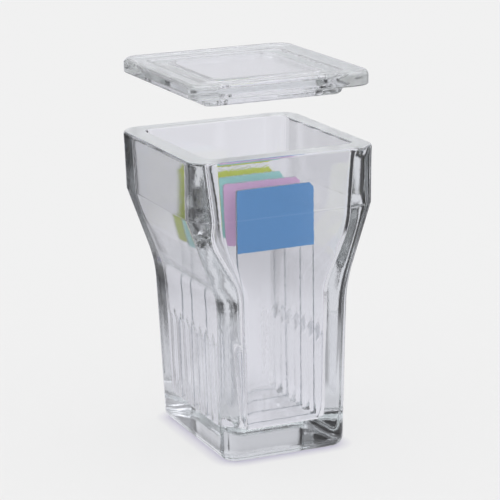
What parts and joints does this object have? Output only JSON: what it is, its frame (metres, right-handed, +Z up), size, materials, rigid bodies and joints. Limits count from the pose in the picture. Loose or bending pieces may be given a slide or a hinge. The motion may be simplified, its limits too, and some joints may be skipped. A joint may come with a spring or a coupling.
{
  "type": "slide staining jar",
  "caption": "Pressed glass staining jar with a widened mouth, grooved lower walls and a lift-off lid, holding microscope slides with coloured ends.",
  "frame": {"origin": "middle of the underside of the jar's foot", "axes": "+Z up, X across the widened mouth, -Y towards the front, where the slides' coloured ends face"},
  "size_m": [0.0622, 0.0676, 0.1204],
  "materials": {
    "jar_glass": "clear pressed soda-lime glass, slightly wavy",
    "lid_glass": "clear pressed soda-lime glass",
    "slide_glass": "clear flat drawn glass",
    "blue_coat": "matt printed coat",
    "purple_coat": "matt printed coat",
    "green_coat": "matt printed coat",
    "yellow_coat": "matt printed coat"
  },
  "bodies": {
    "jar": {"jar": "jar_glass", "slide_blue": "slide_glass", "slide_purple": "slide_glass", "slide_green": "slide_glass", "slide_yellow": "slide_glass", "coat_blue": "blue_coat", "coat_purple": "purple_coat", "coat_green": "green_coat", "coat_yellow": "yellow_coat"},
    "lid": {"lid": "lid_glass"}
  },
  "joints": [
    {"name": "lid_lift", "type": "slide", "parent": "jar", "child": "lid", "axis": [0, 0, 1], "range_m": [-0.0185, 0.04]}
  ]
}
